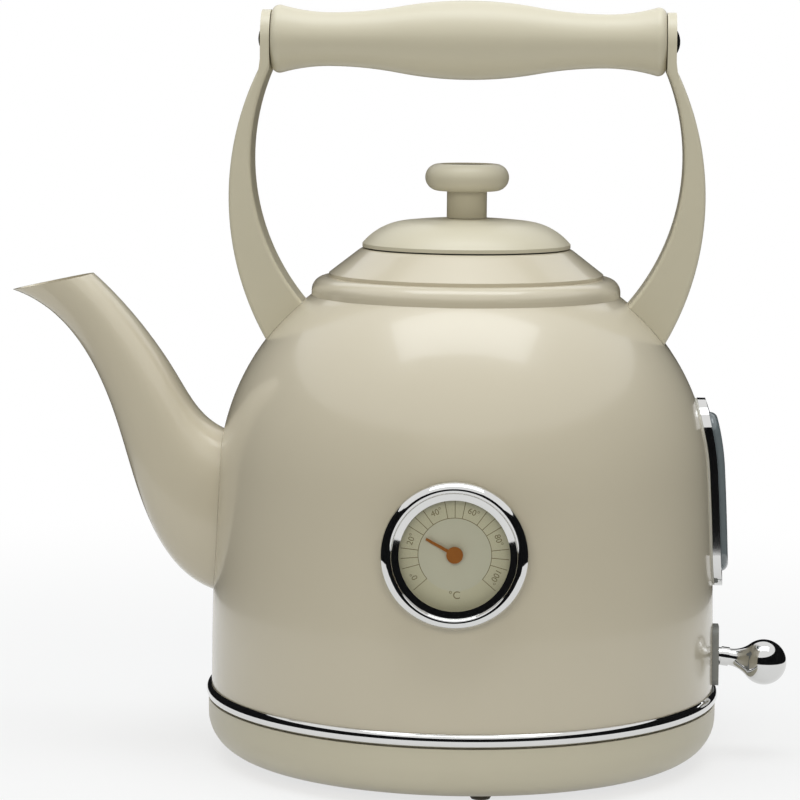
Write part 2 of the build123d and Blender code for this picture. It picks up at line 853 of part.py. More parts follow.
# Tubular element: an open ring under the heat plate with two tails turned down
with BuildPart() as heating_element:
    with BuildSketch(pot_plane):
        with Locations((element_circle, element_height)):
            Circle(element_tube_radius)
    revolve(axis=pot_axis, revolution_arc=360 - element_gap)
    with BuildSketch(level(element_height)):
        with PolarLocations(element_circle, 2, start_angle=0, angular_range=-element_gap, endpoint=True):
            Circle(element_tube_radius)
    extrude(amount=-element_tail)
    with BuildSketch(level(element_height - element_tail)):
        with PolarLocations(element_circle, 2, start_angle=0, angular_range=-element_gap, endpoint=True):
            Circle(element_pin_radius)
    extrude(amount=-element_pin_length)
heating_element.part.label = "heating_element"
export_step(heating_element.part, "parts/heating_element.step")

# Control unit: stands on the cover round the connector socket
with BuildPart() as control_unit:
    with BuildSketch(level(cover_top)):
        Circle(control_radius)
    extrude(amount=control_top - cover_top)
    with BuildSketch(level(cover_top)):
        Circle(well_radius)
    extrude(amount=well_ceiling - cover_top, mode=Mode.SUBTRACT)
    with BuildSketch(level(well_ceiling)):
        Circle(sleeve_radius)
        Circle(sleeve_inner, mode=Mode.SUBTRACT)
        Circle(pin_radius)
    extrude(amount=contact_root, mode=Mode.SUBTRACT)
control_unit.part.label = "control_unit"
export_step(control_unit.part, "parts/control_unit.step")

# Contacts of the pot: a centre pin and a sleeve hanging into the well
with BuildPart() as socket_contacts:
    with BuildSketch(level(contact_bottom + contact_clearance)):
        Circle(sleeve_radius)
        Circle(sleeve_inner, mode=Mode.SUBTRACT)
        Circle(pin_radius)
    extrude(amount=well_ceiling + contact_root - contact_bottom - contact_clearance)
socket_contacts.part.label = "socket_contacts"
export_step(socket_contacts.part, "parts/socket_contacts.step")

with BuildPart() as bimetal_discs:
    with BuildSketch(level(control_top)):
        with PolarLocations(disc_circle, 2):
            Circle(disc_radius)
    extrude(amount=disc_thickness)
bimetal_discs.part.label = "bimetal_discs"
export_step(bimetal_discs.part, "parts/bimetal_discs.step")

# Steam path: a tube from the top of the water space down to its switch
with BuildPart() as steam_switch:
    with BuildSketch(level(cover_top)):
        with PolarLocations(steam_circle, 1, start_angle=steam_turn):
            Circle(steam_switch_radius)
    extrude(amount=steam_switch_height)
    with BuildSketch(level(cover_top + steam_switch_height - steam_socket_depth)):
        with PolarLocations(steam_circle, 1, start_angle=steam_turn):
            Circle(steam_tube_radius + thread_fit)
    extrude(amount=steam_socket_depth, mode=Mode.SUBTRACT)
steam_switch.part.label = "steam_switch"
export_step(steam_switch.part, "parts/steam_switch.step")

with BuildPart() as steam_tube:
    tube_bottom = cover_top + steam_switch_height - steam_socket_depth
    with BuildSketch(level(tube_bottom)):
        with PolarLocations(steam_circle, 1, start_angle=steam_turn):
            Circle(steam_tube_radius)
            Circle(steam_tube_radius - steam_tube_wall, mode=Mode.SUBTRACT)
    extrude(amount=steam_tube_top - tube_bottom)
steam_tube.part.label = "steam_tube"
export_step(steam_tube.part, "parts/steam_tube.step")

with BuildPart() as steam_seal:
    with BuildSketch(level(floor_bottom)):
        with PolarLocations(steam_circle, 1, start_angle=steam_turn):
            Circle(steam_seal_radius)
            Circle(steam_tube_radius, mode=Mode.SUBTRACT)
    extrude(amount=steam_seal_height)
steam_seal.part.label = "steam_seal"
export_step(steam_seal.part, "parts/steam_seal.step")

# Handle arm on the lever side: a curved horn from the dome up to a round tab
with BuildPart() as handle_arm_right:
    with BuildSketch(pot_plane):
        with BuildLine():
            arm_outer = ThreePointArc(arm_foot_outer, arm_belly_outer, arm_neck_outer)
            tab_outline = Polyline(
                arm_outer @ 1,
                (tab_outer, grip_height - tab_radius + tab_thickness),
                (tab_outer, grip_height + tab_radius),
                (tab_inner, grip_height + tab_radius),
                (tab_inner, grip_height - arm_neck_drop),
            )
            arm_inner = ThreePointArc(tab_outline @ 1, arm_belly_inner, arm_foot_inner)
            Polyline(arm_inner @ 1, (arm_foot_inner[0], arm_foot_outer[1]), arm_outer @ 0)
        make_face()
    extrude(amount=tab_radius, both=True)
    with BuildSketch(side_plane):
        with Locations((0, grip_height)):
            Circle(tab_radius)
        with BuildLine():
            Polyline(
                (-tab_radius, grip_height),
                (-arm_foot_half_depth, arm_foot_outer[1]),
                (arm_foot_half_depth, arm_foot_outer[1]),
                (tab_radius, grip_height),
                close=True,
            )
        make_face()
    extrude(amount=body_radius, mode=Mode.INTERSECT)
    fillet(handle_arm_right.edges().filter_by(lambda edge: edge.length > tab_radius * 5), arm_edge)
    add(arm_core, mode=Mode.SUBTRACT)
    with BuildSketch(*washer_planes[:2]):
        Circle(handle_screw_radius + thread_fit)
    extrude(amount=washer_thickness + wall + arm_screw_reach, mode=Mode.SUBTRACT)
    with BuildSketch(side_plane.offset(tab_inner - slip_fit)):
        with Locations((0, grip_height)):
            Circle(handle_screw_radius + slip_fit)
    extrude(amount=tab_thickness + slip_fit * 2, mode=Mode.SUBTRACT)
handle_arm_right.part.label = "handle_arm_right"
export_step(handle_arm_right.part, "parts/handle_arm_right.step")

with BuildPart() as handle_arm_left:
    mirror(handle_arm_right.part, about=side_plane)
handle_arm_left.part.label = "handle_arm_left"
export_step(handle_arm_left.part, "parts/handle_arm_left.step")

# Screws from inside the dome into the arms, each with a sealing washer
with BuildPart() as arm_screws:
    with BuildSketch(*head_planes):
        Circle(handle_screw_head_radius)
    extrude(amount=arm_screw_head_height)
    with BuildSketch(*washer_planes):
        Circle(handle_screw_radius)
    extrude(amount=washer_thickness + wall + arm_screw_reach - slip_fit)
arm_screws.part.label = "arm_screws"
export_step(arm_screws.part, "parts/arm_screws.step")

with BuildPart() as arm_washers:
    with BuildSketch(*washer_planes):
        Circle(washer_radius)
        Circle(handle_screw_radius + thread_fit, mode=Mode.SUBTRACT)
    extrude(amount=washer_thickness + wall)
    add(body_shell.part, mode=Mode.SUBTRACT)
    add(pot_inside, mode=Mode.INTERSECT)
arm_washers.part.label = "arm_washers"
export_step(arm_washers.part, "parts/arm_washers.step")

# Turned grip, with a tie rod through it and a dome-headed screw into each end
grip_axis = Axis((axis_x, 0, grip_height), (1, 0, 0))
with BuildPart() as grip:
    with BuildSketch(pot_plane):
        with BuildLine():
            middle = TangentArc(
                (0, grip_height + grip_middle_radius),
                (grip_waist_place / 2, grip_height + (grip_middle_radius + grip_waist_radius) / 2),
                tangent=(1, 0),
            )
            waist = TangentArc(
                middle @ 1, (grip_waist_place, grip_height + grip_waist_radius), tangent=middle % 1
            )
            flare = TangentArc(
                waist @ 1, (grip_flare_place, grip_height + grip_flare_radius), tangent=waist % 1
            )
            grip_end = TangentArc(
                flare @ 1, (grip_half_length, grip_height + grip_end_radius), tangent=flare % 1
            )
            Polyline(
                grip_end @ 1,
                (grip_half_length, grip_height + grip_rod_radius + slip_fit),
                (0, grip_height + grip_rod_radius + slip_fit),
                middle @ 0,
            )
        make_face()
        mirror(about=Plane.YZ)
    revolve(axis=grip_axis)
grip.part.label = "grip"
export_step(grip.part, "parts/grip.step")

with BuildPart() as grip_rod:
    with BuildSketch(side_plane):
        with Locations((0, grip_height)):
            Circle(grip_rod_radius)
    extrude(amount=grip_half_length, both=True)
    with BuildSketch(side_plane.offset(grip_half_length - handle_screw_reach)):
        with Locations((0, grip_height)):
            Circle(handle_screw_radius + thread_fit)
    extrude(amount=handle_screw_reach, mode=Mode.SUBTRACT)
    with BuildSketch(side_plane.offset(handle_screw_reach - grip_half_length)):
        with Locations((0, grip_height)):
            Circle(handle_screw_radius + thread_fit)
    extrude(amount=-handle_screw_reach, mode=Mode.SUBTRACT)
grip_rod.part.label = "grip_rod"
export_step(grip_rod.part, "parts/grip_rod.step")

with BuildPart() as grip_screws:
    with BuildSketch(pot_plane):
        with BuildLine():
            crown = TangentArc(
                (tab_outer + handle_screw_crown, grip_height),
                (tab_outer, grip_height + handle_screw_head_radius),
                tangent=(0, 1),
            )
            Polyline(
                crown @ 1,
                (tab_outer, grip_height + handle_screw_radius),
                (grip_half_length - handle_screw_reach + slip_fit, grip_height + handle_screw_radius),
                (grip_half_length - handle_screw_reach + slip_fit, grip_height),
                crown @ 0,
            )
        make_face()
    revolve(axis=grip_axis)
    mirror(about=side_plane)
grip_screws.part.label = "grip_screws"
export_step(grip_screws.part, "parts/grip_screws.step")

# Temperature gauge: bezel on a gasket, case through the wall, dial and glass inside
with BuildPart() as gauge_bezel:
    with BuildSketch(gauge_section):
        with BuildLine():
            bezel_side = Line((bezel_radius, -case_depth), (bezel_radius, bezel_edge_height))
            bezel_crown = TangentArc(
                bezel_side @ 1, (bezel_radius - bezel_crest_inset, bezel_crest), tangent=bezel_side % 1
            )
            bezel_slope = TangentArc(
                bezel_crown @ 1, (bezel_step_radius, bezel_step_top), tangent=bezel_crown % 1
            )
            Polyline(
                bezel_slope @ 1,
                (bezel_step_radius, bezel_step_top - bezel_step),
                (bezel_lip_radius, glass_top + slip_fit),
                (bezel_lip_radius, glass_top),
                (bezel_inner, glass_top),
                (bezel_inner, -case_depth),
                bezel_side @ 0,
            )
        make_face()
    revolve(axis=gauge_axis)
    add(gasket_core, mode=Mode.SUBTRACT)
gauge_bezel.part.label = "gauge_bezel"
export_step(gauge_bezel.part, "parts/gauge_bezel.step")

with BuildPart() as gauge_gasket:
    with BuildSketch(gauge_plane.offset(-case_depth)):
        Circle(bezel_radius - 2 * slip_fit)
        Circle(bezel_inner, mode=Mode.SUBTRACT)
    extrude(amount=2 * case_depth)
    add(gasket_core, mode=Mode.INTERSECT)
    add(pot_core, mode=Mode.SUBTRACT)
gauge_gasket.part.label = "gauge_gasket"
export_step(gauge_gasket.part, "parts/gauge_gasket.step")

with BuildPart() as gauge_case:
    with BuildSketch(gauge_section):
        with BuildLine():
            Polyline(
                (0, -case_depth),
                (case_radius, -case_depth),
                (case_radius, glass_bottom),
                (case_inner, glass_bottom),
                (case_inner, dial_back),
                (case_inner - dial_ledge, dial_back),
                (case_inner - dial_ledge, dial_back - case_wall),
                (case_inner, dial_back - case_wall),
                (case_inner, case_wall - case_depth),
                (0, case_wall - case_depth),
                close=True,
            )
        make_face()
    revolve(axis=gauge_axis)
gauge_case.part.label = "gauge_case"
export_step(gauge_case.part, "parts/gauge_case.step")

with BuildPart() as gauge_nut:
    with BuildSketch(gauge_plane.offset(-nut_depth)):
        Circle(case_radius + nut_width)
        Circle(case_radius + thread_fit, mode=Mode.SUBTRACT)
    extrude(amount=-nut_thickness)
gauge_nut.part.label = "gauge_nut"
export_step(gauge_nut.part, "parts/gauge_nut.step")

with BuildPart() as gauge_probe:
    with BuildSketch(gauge_plane.offset(-case_depth)):
        Circle(probe_radius)
    extrude(amount=-probe_length)
    fillet(gauge_probe.faces().sort_by(Axis.Y)[-1].edges(), probe_radius / 2)
gauge_probe.part.label = "gauge_probe"
export_step(gauge_probe.part, "parts/gauge_probe.step")

with BuildPart() as gauge_dial:
    with BuildSketch(gauge_plane.offset(dial_back)):
        Circle(case_inner - thread_fit)
        Circle(dial_hole_radius, mode=Mode.SUBTRACT)
    extrude(amount=dial_thickness)
gauge_dial.part.label = "gauge_dial"
export_step(gauge_dial.part, "parts/gauge_dial.step")

with BuildPart() as gauge_glass:
    with BuildSketch(gauge_plane.offset(glass_bottom)):
        Circle(case_radius)
    extrude(amount=glass_thickness)
gauge_glass.part.label = "gauge_glass"
export_step(gauge_glass.part, "parts/gauge_glass.step")

# Bimetal coil that turns the needle: a flat spiral strip
with BuildPart() as gauge_coil:
    with BuildSketch(gauge_plane.offset(coil_bottom)):
        with BuildLine():
            for half_turn in range(coil_half_turns):
                CenterArc(
                    (coil_pitch / 4 * (-1) ** half_turn, 0),
                    coil_inner_radius + coil_pitch / 2 * half_turn,
                    180 * half_turn,
                    180,
                )
        trace(line_width=coil_strip)
    extrude(amount=coil_height)
gauge_coil.part.label = "gauge_coil"
export_step(gauge_coil.part, "parts/gauge_coil.step")

# Needle: a tapering pointer with a tail and a round hub on its spindle
with BuildPart() as gauge_needle:
    with BuildSketch(gauge_plane.offset(needle_bottom)):
        with BuildLine(mode=Mode.PRIVATE) as pointer:
            Polyline(
                (-needle_tail, -needle_half_width),
                (-needle_tail, needle_half_width),
                (0, needle_half_width),
                (needle_length, needle_tip_half_width),
                (needle_length, -needle_tip_half_width),
                (0, -needle_half_width),
                close=True,
            )
        make_face(pointer.line.rotate(Axis.Z, needle_heading).edges())
    extrude(amount=needle_thickness)
    with BuildSketch(gauge_plane.offset(needle_bottom)):
        Circle(hub_radius)
        Circle(spindle_radius, mode=Mode.SUBTRACT)
    extrude(amount=hub_height)
    with BuildSketch(gauge_plane.offset(needle_bottom)):
        Circle(spindle_radius)
    extrude(amount=hub_height, mode=Mode.SUBTRACT)
gauge_needle.part.label = "gauge_needle"
export_step(gauge_needle.part, "parts/gauge_needle.step")

with BuildPart() as gauge_spindle:
    with BuildSketch(gauge_plane.offset(needle_bottom + hub_height)):
        Circle(spindle_radius)
    extrude(amount=-spindle_depth)
gauge_spindle.part.label = "gauge_spindle"
export_step(gauge_spindle.part, "parts/gauge_spindle.step")

# Water-level window: frame, lens and gasket follow the side of the pot
frame_core = pot_solid(frame_proud)
lens_core = pot_solid(lens_proud)
clamp_core = pot_solid(-wall - clamp_thickness)

with BuildPart() as window_frame_ring:
    with BuildSketch(window_plane):
        SlotOverall(window_length, window_width, rotation=90)
        SlotOverall(opening_length, opening_width, rotation=90, mode=Mode.SUBTRACT)
    extrude(amount=body_radius + lens_proud)
    add(frame_core, mode=Mode.INTERSECT)
    add(gasket_core, mode=Mode.SUBTRACT)
window_frame_ring.part.label = "window_frame"
export_step(window_frame_ring.part, "parts/window_frame.step")

with BuildPart() as window_gasket:
    with BuildSketch(window_plane):
        SlotOverall(window_length - 2 * slip_fit, window_width - 2 * slip_fit, rotation=90)
        SlotOverall(slot_length + 2 * slip_fit, slot_width + 2 * slip_fit, rotation=90, mode=Mode.SUBTRACT)
    extrude(amount=body_radius + lens_proud)
    add(gasket_core, mode=Mode.INTERSECT)
    add(pot_core, mode=Mode.SUBTRACT)
window_gasket.part.label = "window_gasket"
export_step(window_gasket.part, "parts/window_gasket.step")

with BuildPart() as window_lens:
    with BuildSketch(window_plane):
        SlotOverall(opening_length - 2 * slip_fit, opening_width - 2 * slip_fit, rotation=90)
    extrude(amount=body_radius + 2 * lens_proud)
    add(lens_core, mode=Mode.INTERSECT)
    add(gasket_core, mode=Mode.SUBTRACT)
    fillet(window_lens.edges().group_by(Axis.X)[-1], lens_edge)
    with BuildSketch(window_plane):
        SlotOverall(slot_length - 2 * slip_fit, slot_width - 2 * slip_fit, rotation=90)
    extrude(amount=body_radius)
    add(clamp_core, mode=Mode.SUBTRACT)
window_lens.part.label = "window_lens"
export_step(window_lens.part, "parts/window_lens.step")

with BuildPart() as window_clamp:
    with BuildSketch(window_plane):
        SlotOverall(opening_length, opening_width, rotation=90)
        SlotOverall(slot_length, slot_width, rotation=90, mode=Mode.SUBTRACT)
    extrude(amount=body_radius)
    add(pot_inside, mode=Mode.INTERSECT)
    add(clamp_core, mode=Mode.SUBTRACT)
window_clamp.part.label = "window_clamp"
export_step(window_clamp.part, "parts/window_clamp.step")

# Lever plate: a thin curved plate on the side of the pot
plate_core = pot_solid(lever_plate_proud)
with BuildPart() as lever_plate:
    with BuildSketch(side_plane):
        with Locations((0, (lever_plate_top + lever_plate_bottom) / 2)):
            RectangleRounded(
                lever_plate_width, lever_plate_top - lever_plate_bottom, lever_plate_corner
            )
        with Locations((0, (slot_top + slot_bottom) / 2)):
            Rectangle(2 * slot_half_width, slot_top - slot_bottom, mode=Mode.SUBTRACT)
    extrude(amount=body_radius + 2 * lever_plate_proud)
    add(plate_core, mode=Mode.INTERSECT)
    add(pot_core, mode=Mode.SUBTRACT)
lever_plate.part.label = "lever_plate"
export_step(lever_plate.part, "parts/lever_plate.step")

# Switch lever: a turned rod with a ring, a flare and a ball
with BuildPart() as switch_lever:
    flare_start = ball_distance - math.sqrt(ball_radius**2 - rod_flare_radius**2)
    ring_end = rod_ring_place + rod_ring_width
    with BuildSketch(lever_plane):
        with BuildLine():
            rod_side = Polyline(
                (rod_start, 0),
                (rod_start, rod_radius),
                (rod_ring_place, rod_radius),
                (rod_ring_place, rod_ring_radius),
                (ring_end, rod_ring_radius),
                (ring_end, rod_radius),
            )
            rod_flare = TangentArc(rod_side @ 1, (flare_start, rod_flare_radius), tangent=(1, 0))
            ball = ThreePointArc(
                rod_flare @ 1, (ball_distance, ball_radius), (ball_distance + ball_radius, 0)
            )
            Line(ball @ 1, rod_side @ 0)
        make_face()
    revolve(axis=lever_axis)
switch_lever.part.label = "switch_lever"
export_step(switch_lever.part, "parts/switch_lever.step")

# Rocker inside the pot: carries the lever's rod and a trip arm towards the control
with BuildPart() as lever_rocker:
    with BuildSketch(lever_plane):
        Circle(rocker_radius)
    extrude(amount=rocker_half_width, both=True)
    with BuildSketch(lever_plane):
        with Locations((-trip_length / 2, 0)):
            Rectangle(trip_length, trip_thickness)
    extrude(amount=trip_half_width, both=True)
    with BuildSketch(Plane(origin=pivot_point, z_dir=lever_direction)):
        Circle(rocker_boss_radius)
    extrude(amount=rocker_boss_end)
    with BuildSketch(Plane(origin=pivot_point, z_dir=lever_direction).offset(rod_start)):
        Circle(rod_radius)
    extrude(amount=rocker_boss_end, mode=Mode.SUBTRACT)
    with BuildSketch(lever_plane):
        Circle(pivot_pin_radius + running_fit)
    extrude(amount=rocker_half_width, both=True, mode=Mode.SUBTRACT)
lever_rocker.part.label = "lever_rocker"
export_step(lever_rocker.part, "parts/lever_rocker.step")

ear_start = rocker_half_width + bracket_gap
with BuildPart() as pivot_pin:
    with BuildSketch(lever_plane):
        Circle(pivot_pin_radius)
    extrude(amount=ear_start + bracket_wall, both=True)
pivot_pin.part.label = "pivot_pin"
export_step(pivot_pin.part, "parts/pivot_pin.step")

# Bracket on the cover: two ears that hold the pivot pin
with BuildPart() as lever_bracket:
    with BuildSketch(pot_plane):
        with Locations((lever_pivot[0], (cover_top + lever_pivot[1]) / 2)):
            Rectangle(2 * bracket_half_length, lever_pivot[1] - cover_top)
        with Locations(lever_pivot):
            Circle(bracket_half_length)
            Circle(pivot_pin_radius, mode=Mode.SUBTRACT)
    extrude(amount=ear_start + bracket_wall, both=True)
    with BuildSketch(pot_plane):
        with Locations((lever_pivot[0], cover_top + bracket_floor + body_radius / 2)):
            Rectangle(body_radius, body_radius)
    extrude(amount=ear_start, both=True, mode=Mode.SUBTRACT)
lever_bracket.part.label = "lever_bracket"
export_step(lever_bracket.part, "parts/lever_bracket.step")

# Lid: a low dome with a lip, hollow underneath
with BuildPart() as lid_cap:
    with BuildSketch(pot_plane):
        with BuildLine():
            lid_crown = TangentArc(
                (0, lid_top), (lid_shoulder_radius, lid_top - lid_shoulder_drop), tangent=(1, 0)
            )
            lid_shoulder = TangentArc(
                lid_crown @ 1, (lid_radius, lid_bottom + lid_lip), tangent=lid_crown % 1
            )
            lid_underside = Polyline(
                lid_shoulder @ 1, (lid_radius, lid_bottom), (lid_radius - lid_wall, lid_bottom)
            )
            hollow_side = Line(
                lid_underside @ 1, (lid_shoulder_radius, lid_top - lid_shoulder_drop - lid_wall)
            )
            Polyline(hollow_side @ 1, (0, lid_top - lid_shoulder_drop - lid_wall), lid_crown @ 0)
        make_face()
    revolve(axis=pot_axis)
    with BuildSketch(level(lid_bottom)):
        Circle(lid_screw_radius + slip_fit)
    extrude(amount=lid_top - lid_bottom, mode=Mode.SUBTRACT)
lid_cap.part.label = "lid_cap"
export_step(lid_cap.part, "parts/lid_cap.step")

# Plug: a cup that hangs in the mouth, with a groove for the seal and a post to the lid
with BuildPart() as lid_plug:
    with BuildSketch(level(plug_bottom)):
        Circle(plug_radius)
    extrude(amount=plug_depth)
    with BuildSketch(level(plug_bottom + plug_wall)):
        Circle(plug_radius - seal_wall - plug_wall)
    extrude(amount=plug_depth, mode=Mode.SUBTRACT)
    with BuildSketch(level(seal_top - seal_height)):
        Circle(plug_radius)
        Circle(seal_radius - seal_wall, mode=Mode.SUBTRACT)
    extrude(amount=seal_height, mode=Mode.SUBTRACT)
    with BuildSketch(level(plug_bottom)):
        Circle(plug_post_radius)
    extrude(amount=lid_top - lid_shoulder_drop - lid_wall - plug_bottom)
    with BuildSketch(level(plug_bottom)):
        Circle(lid_screw_radius + slip_fit)
    extrude(amount=lid_top - plug_bottom, mode=Mode.SUBTRACT)
lid_plug.part.label = "lid_plug"
export_step(lid_plug.part, "parts/lid_plug.step")

with BuildPart() as lid_seal:
    with BuildSketch(level(seal_top - seal_height)):
        Circle(seal_radius)
        Circle(seal_radius - seal_wall, mode=Mode.SUBTRACT)
    extrude(amount=seal_height)
lid_seal.part.label = "lid_seal"
export_step(lid_seal.part, "parts/lid_seal.step")

# Mushroom knob with a dish in its top
with BuildPart() as lid_knob:
    with BuildSketch(pot_plane):
        with BuildLine():
            knob_under = Polyline(
                (0, lid_top),
                (knob_stem_radius, lid_top),
                (knob_stem_radius, knob_bottom),
                (knob_radius - knob_round, knob_bottom),
            )
            knob_edge = ThreePointArc(
                knob_under @ 1,
                (knob_radius, knob_bottom + knob_round),
                (knob_radius - knob_round, knob_top),
            )
            Polyline(
                knob_edge @ 1,
                (knob_dish_radius, knob_top),
                (knob_dish_radius, knob_top - knob_dish_depth),
                (0, knob_top - knob_dish_depth),
                knob_under @ 0,
            )
        make_face()
    revolve(axis=pot_axis)
    with BuildSketch(level(lid_top)):
        Circle(lid_screw_radius + thread_fit)
    extrude(amount=lid_screw_reach, mode=Mode.SUBTRACT)
lid_knob.part.label = "lid_knob"
export_step(lid_knob.part, "parts/lid_knob.step")

with BuildPart() as knob_cap:
    with BuildSketch(pot_plane):
        with BuildLine():
            cap_crown = TangentArc(
                (0, knob_top),
                (knob_dish_radius - slip_fit, knob_top - knob_cap_crown),
                tangent=(1, 0),
            )
            Polyline(
                cap_crown @ 1,
                (knob_dish_radius - slip_fit, knob_top - knob_dish_depth),
                (0, knob_top - knob_dish_depth),
                cap_crown @ 0,
            )
        make_face()
    revolve(axis=pot_axis)
knob_cap.part.label = "knob_cap"
export_step(knob_cap.part, "parts/knob_cap.step")

with BuildPart() as lid_screw:
    with BuildSketch(level(plug_bottom - lid_screw_head_height)):
        Circle(lid_screw_head_radius)
    extrude(amount=lid_screw_head_height)
    with BuildSketch(level(plug_bottom)):
        Circle(lid_screw_radius)
    extrude(amount=lid_top + lid_screw_reach - slip_fit - plug_bottom)
lid_screw.part.label = "lid_screw"
export_step(lid_screw.part, "parts/lid_screw.step")
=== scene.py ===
# %% [markdown]
# # A cream electric kettle
# The solids of the kettle come ready made: pot, spout, handle, lid, gauge, window, switch and power
# base. This lesson gives every one of them a finish, prints the gauge's dial, and sets up the
# camera, the floor and the lights of a small product studio.

# %% Load the solids
import json
import math

import bpy
from mathutils import Matrix, Quaternion, Vector


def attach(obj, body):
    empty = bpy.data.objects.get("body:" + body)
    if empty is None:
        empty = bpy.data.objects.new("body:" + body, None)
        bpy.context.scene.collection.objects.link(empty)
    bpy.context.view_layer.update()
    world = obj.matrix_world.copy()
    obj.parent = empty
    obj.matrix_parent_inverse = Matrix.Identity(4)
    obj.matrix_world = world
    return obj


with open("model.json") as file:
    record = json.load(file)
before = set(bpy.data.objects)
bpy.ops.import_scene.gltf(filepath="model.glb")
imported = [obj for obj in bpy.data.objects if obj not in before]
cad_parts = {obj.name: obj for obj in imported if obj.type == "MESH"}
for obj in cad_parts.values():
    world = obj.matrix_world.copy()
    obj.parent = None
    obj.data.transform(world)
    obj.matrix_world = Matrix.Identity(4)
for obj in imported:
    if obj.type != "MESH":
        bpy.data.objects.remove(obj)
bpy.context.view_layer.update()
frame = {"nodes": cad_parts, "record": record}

solids = frame["nodes"]

# %% [markdown]
# ## The camera
# The photograph was taken from about a metre away with a long lens, a little above the kettle's
# middle and tipped down. We could turn the camera with angles alone, but it is easier to read as a
# place to stand, a point to look at, and a small roll about the line of sight.

# %% Place the camera
pot_x = 0.021567
camera_distance = 1.045
camera_height = 0.240
camera_turn = math.radians(1.75)
camera_roll = math.radians(0.5)
look_at = Vector((pot_x - 0.0218, 0.0, 0.1193))

camera_data = bpy.data.cameras.new("studio_camera")
camera_data.sensor_width = 36.0
camera_data.lens = 140.6
camera = bpy.data.objects.new("studio_camera", camera_data)
bpy.context.scene.collection.objects.link(camera)
camera.location = (
    pot_x + camera_distance * math.sin(camera_turn),
    -camera_distance * math.cos(camera_turn),
    camera_height,
)
sight = (look_at - camera.location).to_track_quat("-Z", "Y")
camera.rotation_mode = "QUATERNION"
camera.rotation_quaternion = sight @ Quaternion((0, 0, 1), camera_roll)
bpy.context.scene.camera = camera
print("camera at", [round(v, 3) for v in camera.location], "lens", camera_data.lens)

# %% [markdown]
# ## Shader maths as Python
# A finish is a little network of nodes. Drawing it by hand takes many clicks, so one class wraps a
# socket: plus, minus and times add Math nodes, and `node` adds any other node, its settings first
# and its sockets after them.

# %% A socket that does sums


class Wire:
    """An output in a node tree. Sums of wires add Math nodes to the tree."""

    def __init__(self, tree, output=None):
        self.tree = tree
        self.output = output

    def node(self, kind, settings=None, sockets=None, output=0):
        made = self.tree.nodes.new(kind)
        for name, value in (settings or {}).items():
            setattr(made, name, value)
        for name, value in (sockets or {}).items():
            if isinstance(value, Wire):
                self.tree.links.new(value.output, made.inputs[name])
            else:
                made.inputs[name].default_value = value
        return Wire(self.tree, made.outputs[output] if made.outputs else None)

    def sum(self, operation, first, second):
        return self.node("ShaderNodeMath", {"operation": operation}, {0: first, 1: second})

    def __add__(self, other):
        return self.sum("ADD", self, other)

    def __mul__(self, other):
        return self.sum("MULTIPLY", self, other)

    def __sub__(self, other):
        return self.sum("SUBTRACT", self, other)

    def blend(self, low, high):
        """A colour between low and high, by this wire's value."""
        return self.node("ShaderNodeMix", {"data_type": "RGBA"}, {0: self, 6: low, 7: high}, 2)

    def noise(self, scale, detail=2.0, roughness=0.5):
        """Cloudy noise at this wire's place, with about `scale` clouds to the metre."""
        sockets = {"Vector": self, "Scale": scale, "Detail": detail, "Roughness": roughness}
        return self.node("ShaderNodeTexNoise", {}, sockets)

    def bump(self, strength, depth):
        """A bumpy surface from this wire's heights."""
        return self.node("ShaderNodeBump", {}, {"Height": self, "Strength": strength, "Distance": depth})


def screen_colour(red, green, blue):
    """A colour as a screen shows it, 0 to 255, as the linear numbers that a shader wants."""
    parts = [part / 255 for part in (red, green, blue)]
    return tuple(p / 12.92 if p <= 0.04045 else ((p + 0.055) / 1.055) ** 2.4 for p in parts) + (1.0,)


def start_finish(name):
    """A new material, and the place on the object as a wire to build its finish from."""
    material = bpy.data.materials.new(name)
    material.use_nodes = True
    material.node_tree.nodes.clear()
    place = Wire(material.node_tree).node("ShaderNodeTexCoord", {}, {}, "Object")
    return material, place


def end_finish(material, shader):
    """Join the last shader to the material's output."""
    shader.node("ShaderNodeOutputMaterial", {}, {"Surface": shader})
    print("finish", material.name, "has", len(material.node_tree.nodes), "nodes")
    return material


# %% [markdown]
# ## Enamel and moulded plastic
# The pot is pressed steel under glossy cream enamel. Sprayed enamel isn't a perfect mirror: it has a
# faint orange peel, and hands leave it duller in places. The base, the handle's arms, the grip and
# the lid are moulded in the same cream, less glossy, with the fine grain of a mould. One recipe with
# different numbers makes all of them.

# %% Cream and plastic finishes


def coloured_finish(name, light, dark, gloss, dull, grain, grain_depth, coat=0.0):
    """A coloured paint or plastic: cloudy tint, patches of polish, and a fine grain."""
    material, place = start_finish(name)
    tint = place.noise(22.0, 3.0)
    patches = place.noise(60.0, 5.0, 0.6)
    shader = place.node(
        "ShaderNodeBsdfPrincipled",
        {},
        {
            "Base Color": tint.blend(dark, light),
            "Roughness": patches * (dull - gloss) + gloss,
            "Coat Weight": coat,
            "Coat Roughness": 0.05,
            "Normal": place.noise(grain, 2.0).bump(0.25, grain_depth),
        },
    )
    return end_finish(material, shader)


